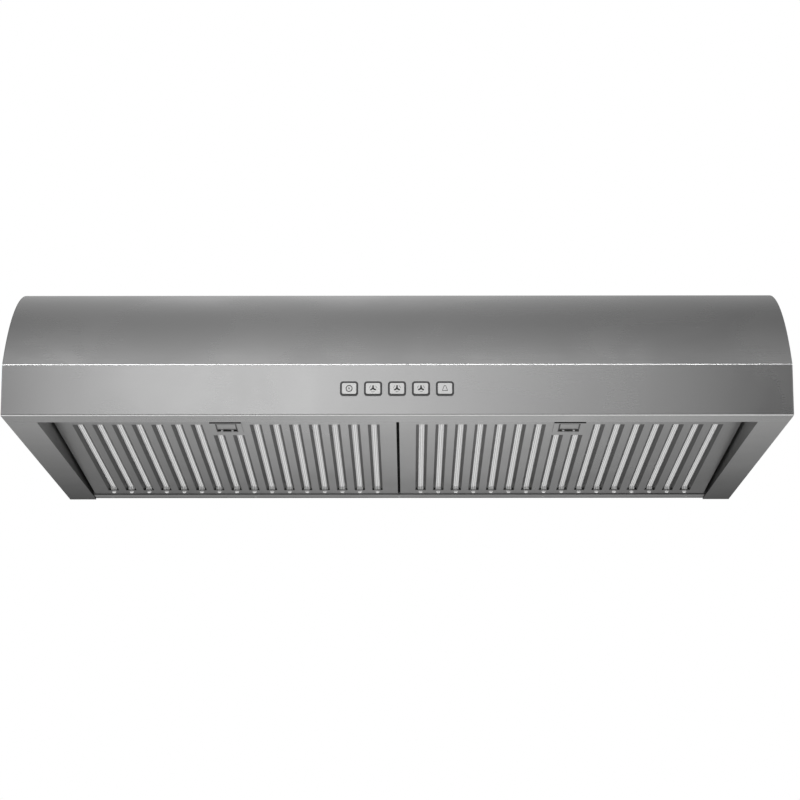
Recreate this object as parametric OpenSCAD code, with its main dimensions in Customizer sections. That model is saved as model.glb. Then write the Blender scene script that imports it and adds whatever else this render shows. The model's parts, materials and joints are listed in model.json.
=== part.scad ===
// Under cabinet range hood with a curved front, two baffle filters and a twin blower.
// Millimetres. The row origin is the centre of the cabinet screw pattern on the top face.
// Inside the modules y runs back from the front face and z runs up from the bottom rims.

/* [Body] */
// Width of the hood
hood_w = 760; // [740:5:900]
// Depth from front face to wall
hood_d = 500; // [490:5:540]
// Height of the body without the duct collar
hood_h = 158; // [158:1:180]
// Height of the flat fascia below the curve
fascia_h = 50; // [48:1:60]
// Depth over which the front curves up to the top
curve_run = 187; // [175:1:200]
// Thickness of the body sheet
sheet = 1; // [0.8:0.1:1.2]
// Width of the flat rims under both sides
rim_w = 30; // [25:1:40]
// Depth of the flat strip under the fascia
strip_d = 33; // [33:1:40]
// Height of the rear rail above the rims
rail_z = 1.5; // [1:0.5:3]

/* [Filters] */
// Width of one filter
filter_w = 346; // [340:1:347]
// Length of one filter, front to rear
filter_l = 358; // [350:1:358]
// Thickness of one filter
filter_t = 9; // [8:0.5:10]
// Slope of the filters, falling to the rear
filter_tilt = 2.8; // [2:0.1:3]
// Slots in one filter
slot_count = 16; // [12:2:16]
// Distance between slots
slot_pitch = 20; // [20:1:21]
// Width of one slot
slot_w = 12; // [9:0.5:12]
// Travel of the latch tab
latch_travel = 4; // [3:0.5:4]

/* [Controls] */
// Number of push buttons
button_count = 5; // [3:1:5]
// Distance between buttons
button_pitch = 23; // [22:1:26]
// Width of the dark bezel round a button
bezel_w = 17.5; // [16:0.5:18]
// Height of the dark bezel round a button
bezel_h = 14.3; // [13:0.1:15]
// Travel of a button
button_travel = 2; // [1:0.5:2]

/* [Lamps] */
// Distance of each lamp from the middle
lamp_x = 190; // [150:5:220]
// Radius of the lamp body
lamp_r = 27; // [22:1:29]

/* [Blower] */
// Radius of an impeller
impeller_r = 42; // [40:1:42]
// Width of an impeller
impeller_w = 60; // [50:1:60]
// Number of blades on an impeller
blade_count = 28; // [16:1:32]
// Radius of the motor can
motor_r = 38; // [34:1:38]
// Radius of the motor shaft
shaft_r = 4; // [3:0.5:5]

/* [Duct and mounting] */
// Inside width of the duct that slips over the collar (10 inch)
duct_w = 254; // [250:1:256]
// Inside depth of the duct that slips over the collar (3 1/4 inch)
duct_d = 82.5; // [80:0.5:84]
// Height of the collar above its flange
collar_h = 25; // [20:1:30]
// Distance between the cabinet screws, side to side
screw_span_x = 660; // [600:5:680]
// Distance between the cabinet screws, front to rear
screw_span_y = 240; // [220:5:240]
// Distance between the wall screws
wall_span = 600; // [400:10:640]

/* [Hidden] */
$fn = 64;
eps = 0.01;             // overshoot of a cut through a flat face

// body
screw_mid_y = 350;      // middle of the cabinet screw pattern, from the front face
inner_w = hood_w - 2 * sheet;
recess_w = hood_w - 2 * rim_w;
rail_half = recess_w / 2 - 0.1;
rise = hood_h - fascia_h;
curve_r = (curve_run * curve_run + rise * rise) / (2 * rise);
curve_z = hood_h - curve_r;
bend_r = 1.5;            // outer radius of the bend under the fascia
crease_r = 2.5;         // outer radius of the crease between the fascia and the curve
crease_z = curve_z + sqrt(pow(curve_r - crease_r, 2) - pow(curve_run - crease_r, 2));
crease_turn = atan2(crease_z - curve_z, crease_r - curve_run);
lip_end = curve_run + 13;   // rear edge of the front panel's top lip
lap = 12;               // overlap of the joint strip under the lip
wall_h = 36;            // inner walls beside the filters
flange = 12;            // side panels' flanges under the top panel
strip_wall_h = 30;      // upturned rear edge of the strip under the fascia
back_lip = 16;          // back panel's bottom flange, on the rear rail
cabinet_hole_r = 3.5;
cabinet_hole_shift = 3.5;   // half the extra length of the cabinet slots
wall_hole_r = 3;
wall_hole_drop = 45;    // wall holes below the top face

// filters
filter_rear_y = 474;
filter_rear_z = 2.35;
filter_gap = 1.5;       // half the gap between the two filters
filter_mid_x = filter_w / 2 + filter_gap;
stop_play = 1.5;        // space over the filter, under the stops on the side walls
stop_w = 10;
stop_out = 3;           // from the filter's outer edge into the side wall
stop_end = 30;          // stops from both ends of the filters
skin = 0.8;
slot_rear = 18.5;
slot_front = 333;
short_slot_front = 287;
slot_bevel = 3;         // height of the slots' sloped edges, and their width
rib_w = 6.5;
rib_drop = 3.7;
rib_rear = 17.5;        // closed end of the ribs, just behind the slots
drain_r = 2.4;
drain_y = 15;
vent_w = 6;
hook_x = 110;           // hooks from the middle of their filter
hook_w = 20;
hook_reach = 9;
bead_y = 2;             // hinge bead from the rear edge of the filter
bead_z = 1.7;
bead_r = 1.3;
bracket_gap = 24;
bracket_h = 14;

// latch
latch_plate = [32, 43, skin];
latch_y = 300.4;        // rear edge of the latch plate, from the rear edge of the filter
latch_hole_rear = 3.9;  // rear edge of the tab's hole, from the rear edge of the plate
latch_cut = [25, 36];   // opening in the filter behind the plate
latch_cut_rear = 3.1;
strap_y = [-30, -20];   // strap over the latch, from the rear edge of the plate
strap_x = 17;
tab_play = 0.3;
tab_w = 21;
tab_l = 27.4;
tab_gap = latch_travel + 1.8;   // finger slot behind the tab
tongue_w = 14;
tongue_reach = 5;
spring_z = 4.6;
spring_len = 17;
spring_rear = 5.4;

// light panel
panel_z = 20;
panel_front = strip_d;
panel_rear = 115.5;
panel_flange_h = 24;
ledge_d = 7.5;          // raised ledge over the latch tongues
ledge_h = 6;
end_screws_y = [52, 88];
end_screw_z = 12;
lamp_y = 74;
lamp_h = 24;
lamp_wall = 1.5;
lamp_flange = 3.5;
led_ring = 12;
led_w = 3;

// controls
button_z = fascia_h / 2 + 1.3;
ring = 1.75;
play = 0.15;
key_w = bezel_w - 2 * ring - 2 * play;
key_h = bezel_h - 2 * ring - 2 * play;
key_front = -1.2;
key_stop_y = 6.1;
stop_t = 1.2;
block_front = key_stop_y + stop_t + button_travel + 2.7;
block_depth = 18;
block_w = button_pitch * button_count + 4;
block_h = 22;
bezel_lip = 0.6;        // bezel rings in front of the fascia
bezel_plate = [block_w + 10, 24];
stem_w = 4;
button_spring_r = 3.4;
spring_wire_r = 0.3;
board_size = [130, 1.6, 40];
board_low = 6;
board_gap = 0.7;        // from the switch block's top up to the board's parts
board_part_h = 8;

// blower
blower_y = 405;
blower_z = 86;
scroll_in = 48;         // inner wall of each scroll, from the middle
scroll_w = impeller_w + 10;     // twice the play beside the impeller
scroll_r = impeller_r + 6;
step = 6;               // growth of the scroll per quarter turn
scroll_top = 64;
outlet_front = 12;
outlet_rear = scroll_r + 2.5 * step;
inlet_r = impeller_r - 6;
scroll_play = 5;        // between impeller and scroll, along the shaft
blade = [8, 0.8];
blade_turn = 35;
rim = [3, 2];           // radial and axial size of the impeller's end rings
hub = [5, 16];          // hub's wall and length
disc_t = 1.2;
motor_half = 34;
motor_wall = 1.5;
stator_half = 20;
bearing_r = 11;
bearing_play = 0.05;
bearing_w = 6;
plenum_z = blower_z + 60;
saddle_t = 1.2;
bracket_half = 10;      // half the width of the motor bracket
arm_y = 24;
foot_y = 40;
bracket_screw_y = 32;
shelf_d = 42;           // plenum's bottom plate in front of the shaft

// duct
collar_y = 433.5;
collar_wall = 1;
collar_flange = 18;
collar_w = duct_w - 1;
collar_d = duct_d - 1;
hinge_y = collar_y + collar_d / 2 - 4;
flap_z = hood_h + 8;
flap_t = 0.8;
pin_r = 1.5;
pin_play = 0.06;

// wiring
box_mid = [250, 440];
box_size = [90, 66, 44];
box_wall = 1.2;
box_low = [box_mid[0] - box_size[0] / 2, box_mid[1] - box_size[1] / 2, hood_h - sheet - box_size[2]];
capacitor_mid = [-200, 420];
capacitor_r = 17;
capacitor_l = 60;
capacitor_z = hood_h - sheet - capacitor_r - 3;
wire_r = 2.5;
wire_z = box_low[2] + 14;   // height of the wires into the box
wire_x = 150;
gland_r = 6;

// screws: radii of their shanks, and their spacing
light_screw_r = 1.75;
collar_screw_r = 1.5;
collar_screw_x = 120;
bracket_screw_r = 1.5;
rail_screw_r = 1.5;
rail_screw_pitch = 165;
screw_play = 0.05;

// ---- shared shapes ----

module in_hood() translate([0, -screw_mid_y, -hood_h]) children();

module mirrored(side) mirror([side < 0 ? 1 : 0, 0, 0]) children();

module block(low, high) translate(low) cube(high - low);

// a profile drawn in the y-z plane, extruded from one x to another
module along_x(from, to)
    translate([from, 0, 0]) rotate([90, 0, 90]) linear_extrude(height = to - from) children();

// a round bar along x
module x_rod(r, from, to)
    translate([from, 0, 0]) rotate([0, 90, 0]) cylinder(r = r, h = to - from);

// a profile drawn in the x-z plane, extruded from one y to another
module along_y(from, to)
    translate([0, to, 0]) rotate([90, 0, 0]) linear_extrude(height = to - from) children();

module rounded_rect(w, h, r) {
    square([w - 2 * r, h], center = true);
    square([w, h - 2 * r], center = true);
    for (sx = [-1, 1], sz = [-1, 1])
        translate([sx * (w / 2 - r), sz * (h / 2 - r)]) circle(r);
}

// coil spring standing along z: a helix of six-sided rings, ten to the turn
function coil_ring(r, w, a, z) =
    [for (t = [0 : 60 : 300]) [(r + w * cos(t)) * cos(a), (r + w * cos(t)) * sin(a), z + w * sin(t)]];

module coil(r, wire_r, len, turns) {
    n = 10 * turns;
    points = [for (i = [0 : n])
        each coil_ring(r, wire_r, 36 * i, wire_r + (len - 2 * wire_r) * i / n)];
    sides = [for (i = [0 : n - 1], k = [0 : 5])
        let (p = 6 * i + k, q = 6 * i + (k + 1) % 6) each [[p, p + 6, q], [q, p + 6, q + 6]]];
    polyhedron(points, concat([[0, 1, 2, 3, 4, 5]], sides, [[for (k = [5 : -1 : 0]) 6 * n + k]]));
}

module pan_screw(r, len) {
    cylinder(r = 2 * r, h = 1.6);
    translate([0, 0, -len]) cylinder(r = r, h = len);
}

// ---- body ----

// outline of the hood seen from the side, drawn inset from the outer face
module side_outline(inset) {
    translate([bend_r, inset]) square([hood_d - bend_r, bend_r - inset]);
    translate([inset, bend_r]) square([hood_d - inset, crease_z - bend_r]);
    translate([bend_r, bend_r]) circle(bend_r - inset);
    translate([crease_r, crease_z]) circle(crease_r - inset);
    intersection() {
        translate([curve_run, curve_z]) circle(curve_r - inset, $fn = 180);
        translate([curve_run, curve_z]) rotate(crease_turn - 90) square(curve_r);
        translate([inset, bend_r]) square([curve_run - inset, hood_h]);
    }
    translate([curve_run - eps, fascia_h - eps])
        square([hood_d - curve_run + eps, rise - inset + eps]);
}

module button_holes(w, h, r)
    for (i = [0 : button_count - 1])
        translate([(i - (button_count - 1) / 2) * button_pitch, button_z]) rounded_rect(w, h, r);

module front_panel() color("silver") in_hood() difference() {
    union() {
        along_x(-inner_w / 2, inner_w / 2) difference() {
            side_outline(0);
            side_outline(sheet);
            translate([lip_end, 0]) square([hood_d, hood_h + 1]);
        }
        block([-recess_w / 2, strip_d - sheet, 0], [recess_w / 2, strip_d, strip_wall_h]);
    }
    block([-inner_w, strip_d, -1], [inner_w, hood_d + 1, fascia_h]);
    along_y(-1, sheet + 1) button_holes(bezel_w, bezel_h, 3);
}

module filter_stop() filter_space(1) translate([filter_w / 2 + stop_out, 0, filter_t + stop_play])
    block([-stop_w, stop_end - filter_l, 0], [0, -stop_end, sheet]);

module side_panel(side) color("silver") in_hood() mirrored(side) {
    along_x(inner_w / 2, hood_w / 2) side_outline(0);
    block([recess_w / 2, strip_d, 0], [inner_w / 2 + eps, hood_d, sheet]);
    difference() {
        block([recess_w / 2, strip_d, 0], [recess_w / 2 + sheet, hood_d - sheet, wall_h]);
        light_panel_screw_holes();
    }
    block([inner_w / 2 - flange, lip_end + 4, hood_h - 2 * sheet],
          [inner_w / 2 + eps, hood_d - 4, hood_h - sheet]);
    filter_stop();
}

module cabinet_slot() translate([0, 0, hood_h - sheet - 1]) {
    block([-cabinet_hole_shift, -cabinet_hole_r, 0], [cabinet_hole_shift, cabinet_hole_r, sheet + 2]);
    for (sx = [-1, 1])
        translate([sx * cabinet_hole_shift, 0, 0]) cylinder(r = cabinet_hole_r, h = sheet + 2);
}

module top_panel() color("gray") in_hood() difference() {
    union() {
        block([-inner_w / 2, lip_end, hood_h - sheet], [inner_w / 2, hood_d - sheet, hood_h]);
        block([-inner_w / 2 + flange + 2, lip_end - lap, hood_h - 2 * sheet],
              [inner_w / 2 - flange - 2, lip_end + lap, hood_h - sheet]);
    }
    translate([0, collar_y, hood_h])
        cube([collar_w - 2 * collar_wall, collar_d - 2 * collar_wall, 4 * sheet], center = true);
    for (sx = [-1, 1], sy = [-1, 1])
        translate([sx * screw_span_x / 2, screw_mid_y + sy * screw_span_y / 2, 0]) cabinet_slot();
    translate([box_mid[0], box_mid[1], hood_h - 2]) cylinder(r = gland_r + 3, h = 4);
    at_collar_screws() screw_hole(collar_screw_r);
}

module back_panel() color("gray") in_hood() {
    difference() {
        block([-inner_w / 2, hood_d - sheet, rail_z + sheet], [inner_w / 2, hood_d, hood_h]);
        for (sx = [-1, 1])
            translate([sx * wall_span / 2, hood_d + 1, hood_h - wall_hole_drop])
                rotate([90, 0, 0]) cylinder(r = wall_hole_r, h = sheet + 2);
    }
    difference() {
        block([-rail_half, hood_d - back_lip, rail_z + sheet],
              [rail_half, hood_d - sheet + eps, rail_z + 2 * sheet]);
        at_rail_screws() screw_hole(rail_screw_r);
    }
}

module rear_rail() color("gray") in_hood() difference() {
    block([-rail_half, filter_rear_y + bead_y, rail_z], [rail_half, hood_d, rail_z + sheet]);
    at_rail_screws() screw_hole(rail_screw_r);
}

// upright strips on the rear rail, with open gaps that the filters' hooks drop into
module hinge_brackets() color("gray") in_hood() {
    ends = [-rail_half, -filter_mid_x - hook_x, -filter_mid_x + hook_x,
            filter_mid_x - hook_x, filter_mid_x + hook_x, rail_half];
    for (i = [0 : 4]) {
        low = ends[i] + (i == 0 ? 0 : bracket_gap / 2);
        high = ends[i + 1] - (i == 4 ? 0 : bracket_gap / 2);
        block([low, filter_rear_y + bead_y, rail_z + sheet],
              [high, filter_rear_y + bead_y + sheet, rail_z + sheet + bracket_h]);
    }
}

module light_panel() color("silver") in_hood() difference() {
    w = recess_w / 2 - 0.2;
    ledge_front = panel_rear - ledge_d;
    union() {
        block([-w, panel_front, panel_z], [w, ledge_front + sheet, panel_z + sheet]);
        block([-w, panel_front, panel_z], [w, panel_front + sheet, strip_wall_h]);
        block([-w, ledge_front, panel_z], [w, ledge_front + sheet, panel_z + ledge_h + sheet]);
        block([-w, ledge_front, panel_z + ledge_h], [w, panel_rear, panel_z + ledge_h + sheet]);
        block([-w, panel_rear - sheet, panel_z + ledge_h], [w, panel_rear, panel_z + panel_flange_h]);
        for (side = [-1, 1]) mirrored(side)
            block([w - sheet, panel_front, panel_z], [w, ledge_front + sheet, panel_z + panel_flange_h]);
    }
    for (side = [-1, 1])
        translate([side * lamp_x, lamp_y, panel_z - 1]) cylinder(r = lamp_r, h = sheet + 2);
    for (side = [-1, 1]) mirrored(side) light_panel_screw_holes();
}

// ---- lamps ----

module at_lamp(side) translate([side * lamp_x, lamp_y, panel_z]) children();

module lamp_housing(side) color("whitesmoke") in_hood() at_lamp(side) difference() {
    union() {
        translate([0, 0, -lamp_wall]) cylinder(r = lamp_r + lamp_flange, h = lamp_wall);
        cylinder(r = lamp_r, h = lamp_h);
    }
    translate([0, 0, -2]) cylinder(r = lamp_r - lamp_wall, h = lamp_h);
}

module lamp_lens(side) color("white") in_hood() at_lamp(side)
    translate([0, 0, -1]) cylinder(r = lamp_r - lamp_wall, h = 2.5);

module lamp_boards() color("darkgreen") in_hood() for (side = [-1, 1]) at_lamp(side) {
    translate([0, 0, lamp_h - 4]) cylinder(r = lamp_r - 2, h = 1.6);
    for (a = [0 : 60 : 300]) rotate(a) translate([led_ring - led_w / 2, -led_w / 2, lamp_h - 5])
        cube([led_w, led_w, 1 + eps]);
}

// ---- controls ----

module button_bezel() color("dimgray") in_hood() {
    along_y(-bezel_lip, key_stop_y - 0.1) difference() {
        button_holes(bezel_w - 0.1, bezel_h - 0.1, 2.95);
        button_holes(bezel_w - 2 * ring, bezel_h - 2 * ring, 1.6);
    }
    along_y(sheet, 2.5) difference() {
        translate([0, button_z]) square(bezel_plate, center = true);
        button_holes(bezel_w - 1, bezel_h - 1, 2.5);
    }
    for (sx = [-1, 1]) translate([sx * (block_w / 2 + 2), 0, button_z])
        block([-2, sheet, -10], [2, block_front + block_depth, 10]);
}

module button(i) color("gainsboro") in_hood()
    translate([(i - (button_count - 1) / 2) * button_pitch, 0, button_z]) {
        along_y(key_front, key_stop_y + eps) rounded_rect(key_w, key_h, 1.45);
        along_y(key_stop_y, key_stop_y + stop_t)
            square([bezel_w - 2 * ring + 2, bezel_h - 2 * ring + 2], center = true);
        along_y(key_stop_y + 1, block_front + 1) square(stem_w, center = true);
    }

module button_springs() color("lightgray") in_hood()
    for (i = [0 : button_count - 1])
        translate([(i - (button_count - 1) / 2) * button_pitch, block_front, button_z])
            rotate([90, 0, 0]) coil(button_spring_r, spring_wire_r, block_front - key_stop_y - stop_t, 3);

module switch_block() color("darkslategray") in_hood() difference() {
    block([-block_w / 2, block_front, button_z - block_h / 2],
          [block_w / 2, block_front + block_depth, button_z + block_h / 2]);
    for (i = [0 : button_count - 1])
        translate([(i - (button_count - 1) / 2) * button_pitch, block_front, button_z])
            cube([stem_w + 1, 12, stem_w + 1], center = true);
}

module control_board() color("darkgreen") in_hood() {
    y = block_front + block_depth;
    part_z = button_z + block_h / 2 + board_gap;
    translate([-board_size[0] / 2, y, board_low]) cube(board_size);
    block([-55, y - 10, part_z], [-35, y + eps, part_z + board_part_h]);
    block([-20, y - 8, part_z], [5, y + eps, part_z + board_part_h]);
    for (i = [0 : 2]) translate([25 + 12 * i, y + eps, part_z + board_part_h / 2])
        rotate([90, 0, 0]) cylinder(d = board_part_h, h = 9);
}

// ---- filters ----

// a filter's own space: y runs back from its rear edge, so it lies at y from -filter_l to 0
module filter_space(side)
    translate([side * filter_mid_x, filter_rear_y, filter_rear_z])
        rotate([-filter_tilt, 0, 0]) children();

function slot_x(i) = (i - (slot_count - 1) / 2) * slot_pitch;
function slot_end(i) =
    abs(i - (slot_count - 1) / 2) < 1 ? short_slot_front : slot_front;

// a bar along slot i whose half width goes from one value to another as it rises
module filter_slot(i, half_low, half_high, low, high, rear = slot_rear)
    translate([slot_x(i), 0, 0]) along_y(-slot_end(i), -rear)
        polygon([[-half_low, low], [half_low, low], [half_high, high], [-half_high, high]]);

module filter_face(side) color("silver") in_hood() filter_space(side) {
    half = filter_w / 2;
    open = slot_w / 2;
    difference() {
        block([-half, -filter_l, 0], [half, 0, filter_t]);
        difference() {
            block([-half + skin, -filter_l + skin, skin], [half - skin, -skin, filter_t + 1]);
            for (i = [0 : slot_count - 1])
                filter_slot(i, open + 1.2, open + 1.2 - slot_bevel, 0, slot_bevel);
        }
        for (i = [0 : slot_count - 1]) {
            filter_slot(i, open + 1, open - slot_bevel - 0.5, -1, slot_bevel + 0.5);
            translate([slot_x(i), -drain_y, -1]) cylinder(r = drain_r, h = skin + 2);
        }
        translate([0, -latch_y - latch_cut_rear, 0])
            block([-latch_cut[0] / 2, -latch_cut[1], -1], [latch_cut[0] / 2, 0, skin + 1]);
        block([-tongue_w / 2 - 1, -filter_l - 1, skin], [tongue_w / 2 + 1, -filter_l + 2, 2.8]);
    }
    // strap that keeps the latch tab down, and the post behind its spring
    at_latch() {
        for (sx = [-1, 1])
            block([sx * strap_x - 1, strap_y[0], skin - eps], [sx * strap_x + 1, strap_y[1], 3.2]);
        block([-strap_x - 1, strap_y[0], 2.4], [strap_x + 1, strap_y[1], 3.2]);
        block([-4, spring_rear, skin - eps], [4, spring_rear + 1, 7.5]);
    }
}

module filter_back(side) color("lightgray") in_hood() filter_space(side) difference() {
    half = filter_w / 2 - skin;
    low = filter_t - skin;
    union() {
        block([-half, -filter_l + skin, low], [half, -skin, filter_t]);
        for (i = [0 : slot_count - 1])
            filter_slot(i, rib_w / 2, rib_w / 2, low - rib_drop, low + eps, rib_rear);
        for (i = [0 : slot_count - 1]) translate([slot_x(i), -rib_rear, 0])
            block([-rib_w / 2, -skin, skin + 0.1], [rib_w / 2, 0, low]);
    }
    for (i = [0 : slot_count - 1])
        filter_slot(i, rib_w / 2 - skin, rib_w / 2 - skin, low - rib_drop + skin, filter_t + 1,
                    rib_rear + skin);
    for (i = [0 : slot_count - 2])
        translate([slot_x(i) + slot_pitch / 2, 0, 0])
            block([-vent_w / 2, -short_slot_front + 10, low - 1],
                  [vent_w / 2, -slot_rear - 10, filter_t + 1]);
}

// two hooks behind each filter, each with a round bead that the filter tilts on
module filter_hooks(side) color("silver") in_hood() filter_space(side)
    for (sx = [-1, 1]) translate([sx * hook_x, 0, bead_z]) {
        block([-hook_w / 2, 0, -skin / 2], [hook_w / 2, hook_reach, skin / 2]);
        translate([0, bead_y, 0]) x_rod(bead_r, -hook_w / 2, hook_w / 2);
    }

module at_latch() translate([0, -latch_y, 0]) children();

module latch_plate(side) color("gray") in_hood() filter_space(side) at_latch() difference() {
    block([-latch_plate[0] / 2, -latch_plate[1], -skin], [latch_plate[0] / 2, 0, 0]);
    translate([0, -latch_hole_rear, 0])
        block([-tab_w / 2 - tab_play, -tab_l - tab_gap, -skin - 1], [tab_w / 2 + tab_play, 0, 1]);
}

module latch_tab(side) color("gray") in_hood() filter_space(side) at_latch() {
    rear = -latch_hole_rear - tab_gap;
    front = rear - tab_l + tab_play;
    block([-tab_w / 2, front, -0.5], [tab_w / 2, rear, 1.1 + eps]);
    block([-tab_w / 2, rear - 1, -1.6], [tab_w / 2, rear, 0]);
    block([-14.5, front + 1, 1.1], [14.5, rear - 2, 1.9]);
    block([-tongue_w / 2, -(filter_l + tongue_reach - latch_y), 1.1], [tongue_w / 2, front + 2, 1.9]);
    block([-3, spring_rear - spring_len - 1, 1.1], [3, spring_rear - spring_len, 7]);
}

module latch_spring(side) color("lightgray") in_hood() filter_space(side) at_latch()
    translate([0, spring_rear, spring_z]) rotate([90, 0, 0]) coil(1.8, spring_wire_r, spring_len, 6);

// ---- blower ----

module at_blower() translate([0, blower_y, blower_z]) children();

// spiral casing of three arcs, each one step larger, with its outlet rising at the rear
module scroll_profile(grow) {
    c = step / 2;
    far = 2 * scroll_r;
    intersection() {
        translate([-c, -c]) circle(scroll_r + grow, $fn = 96);
        translate([-far, -c]) square([far - c, far]);
    }
    intersection() {
        translate([c, -c]) circle(scroll_r + step + grow, $fn = 96);
        translate([-far, -far]) square([far + c, far - c]);
    }
    intersection() {
        translate([c, c]) circle(scroll_r + 2 * step + grow, $fn = 96);
        translate([c, -far]) square([far, far + c]);
    }
    translate([-c, -c]) square([step, step]);
    translate([-c, c]) square([outlet_rear + c + grow, scroll_r - step + grow]);
    translate([outlet_front - grow, c])
        square([outlet_rear - outlet_front + 2 * grow, scroll_top - c]);
}

module scroll(side) color("gray") in_hood() at_blower() mirrored(side) difference() {
    along_x(scroll_in, scroll_in + scroll_w) scroll_profile(sheet);
    along_x(scroll_in + sheet, scroll_in + scroll_w - sheet) {
        scroll_profile(0);
        translate([outlet_front, 0]) square([outlet_rear - outlet_front, scroll_top + 1]);
    }
    x_rod(inlet_r, scroll_in - 1, scroll_in + scroll_w + 1);
}

module impeller(side) color("lightgray") in_hood() at_blower() mirrored(side) {
    low = scroll_in + scroll_play;
    mid = low + impeller_w / 2;
    along_x(low, low + impeller_w)
        for (i = [0 : blade_count - 1]) rotate(i * 360 / blade_count)
            translate([impeller_r - 5.2, 0]) rotate(blade_turn) square(blade, center = true);
    for (x = [low, low + impeller_w - rim[1]]) along_x(x, x + rim[1]) difference() {
        circle(impeller_r);
        circle(impeller_r - rim[0]);
    }
    along_x(mid - disc_t / 2, mid + disc_t / 2) difference() {
        circle(impeller_r - rim[0]);
        circle(shaft_r);
    }
    along_x(mid - hub[1] / 2, mid + hub[1] / 2) difference() {
        circle(shaft_r + hub[0]);
        circle(shaft_r);
    }
}

module motor_shaft() color("lightgray") in_hood() at_blower()
    x_rod(shaft_r, -scroll_in - scroll_w + 4, scroll_in + scroll_w - 4);

module motor_rotor() color("dimgray") in_hood() at_blower() difference() {
    x_rod(motor_r - 16.4, 1 - stator_half, stator_half - 1);
    x_rod(shaft_r, -stator_half, stator_half);
}

module motor_stator() color("peru") in_hood() at_blower() difference() {
    x_rod(motor_r - motor_wall, -stator_half, stator_half);
    x_rod(motor_r - 16, -stator_half - 1, stator_half + 1);
}

module motor_can() color("dimgray") in_hood() at_blower() difference() {
    union() {
        x_rod(motor_r, -motor_half, motor_half - 3);
        x_rod(bearing_r + 2, -motor_half - 4, 0);
    }
    x_rod(motor_r - motor_wall, -motor_half + 3, motor_half + 1);
    x_rod(bearing_r, -motor_half - 2, 0);
    x_rod(shaft_r + 1, -motor_half - 5, 0);
}

module motor_end_cap() color("gray") in_hood() at_blower() difference() {
    union() {
        x_rod(motor_r, motor_half - 3, motor_half);
        x_rod(bearing_r + 2, motor_half - 8, motor_half + 4);
    }
    x_rod(bearing_r, motor_half - 9, motor_half + 2);
    x_rod(shaft_r + 1, motor_half, motor_half + 5);
}

module motor_bearings() color("lightgray") in_hood() at_blower()
    for (side = [-1, 1]) mirrored(side) difference() {
        x_rod(bearing_r, motor_half + 2 - bearing_w, motor_half + 2);
        x_rod(shaft_r + bearing_play, motor_half - bearing_w, motor_half + 3);
    }

module motor_bracket() color("gray") in_hood() difference() {
    at_blower() {
        top = plenum_z - blower_z;
        along_x(-bracket_half, bracket_half) difference() {
            circle(motor_r + saddle_t);
            circle(motor_r + 0.02);
        }
        for (sy = [-1, 1])
            block([-bracket_half, sy * arm_y - 0.8, motor_r - 7.4],
                  [bracket_half, sy * arm_y + 0.8, top]);
        block([-bracket_half, -foot_y, top - 1.5], [bracket_half, foot_y, top]);
    }
    at_bracket_screws() screw_hole(bracket_screw_r);
}

module run_capacitor() color("white") in_hood()
    translate([0, capacitor_mid[1], capacitor_z]) {
        x_rod(capacitor_r, capacitor_mid[0], capacitor_mid[0] + capacitor_l);
        x_rod(4, capacitor_mid[0] - 6, capacitor_mid[0] + eps);
    }

module capacitor_clamp() color("gray") in_hood() {
    mid = capacitor_mid[0] + capacitor_l / 2;
    translate([0, capacitor_mid[1], capacitor_z]) along_x(mid - 8, mid + 8) difference() {
        union() {
            circle(capacitor_r + saddle_t);
            translate([-capacitor_r - 12, capacitor_r + 1]) square([2 * capacitor_r + 24, 2]);
        }
        circle(capacitor_r + 0.05);
    }
}

// ---- duct ----

module duct_ring(w, d, low, high, wall) translate([0, collar_y, low]) difference() {
    translate([-w / 2, -d / 2, 0]) cube([w, d, high - low]);
    translate([-w / 2 + wall, -d / 2 + wall, -1]) cube([w - 2 * wall, d - 2 * wall, high - low + 2]);
}

module outlet_plenum() color("gray") in_hood() {
    duct_ring(collar_w, collar_d, plenum_z, hood_h - sheet, collar_wall);
    difference() {
        block([-collar_w / 2, blower_y - shelf_d, plenum_z],
              [collar_w / 2, collar_y + collar_d / 2, plenum_z + sheet]);
        for (side = [-1, 1]) mirrored(side)
            block([scroll_in, blower_y + outlet_front - sheet, plenum_z - 1],
                  [scroll_in + scroll_w, blower_y + outlet_rear + sheet, plenum_z + 2]);
        at_bracket_screws() screw_hole(bracket_screw_r);
    }
}

module duct_collar() color("silver") in_hood() {
    difference() {
        union() {
            duct_ring(collar_w + 2 * collar_flange, collar_d + 2 * collar_flange,
                      hood_h, hood_h + sheet, collar_flange + collar_wall);
            duct_ring(collar_w, collar_d, hood_h, hood_h + sheet + collar_h, collar_wall);
        }
        translate([0, hinge_y, flap_z]) x_rod(pin_r + pin_play, -collar_w, collar_w);
        at_collar_screws() screw_hole(collar_screw_r);
    }
    // ledge that the closed flap rests on
    y = collar_y - collar_d / 2 + collar_wall;
    block([-collar_w / 2 + 1, y - eps, flap_z - 2.5], [collar_w / 2 - 1, y + 5, flap_z - 1.5]);
}

module damper_flap() color("gainsboro") in_hood() {
    half = collar_w / 2 - collar_wall - 1;
    front = collar_y - collar_d / 2 + collar_wall + 1.5;
    block([-half, front, flap_z - flap_t / 2], [half, hinge_y, flap_z + flap_t / 2]);
    translate([0, hinge_y, flap_z]) {
        x_rod(2.4, -half, half);
        x_rod(pin_r, -half - 3, half + 3);
    }
}

// ---- wiring ----

module wiring_box() color("gray") in_hood() difference() {
    block(box_low, box_low + box_size);
    block(box_low + [box_wall, box_wall, -1], box_low + box_size - box_wall * [1, 1, 1]);
    translate([box_mid[0], box_mid[1], hood_h - 6]) cylinder(r = gland_r + 3, h = 6);
    translate([box_low[0], box_mid[1], wire_z]) x_rod(2 * wire_r, -5, 5);
}

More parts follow.
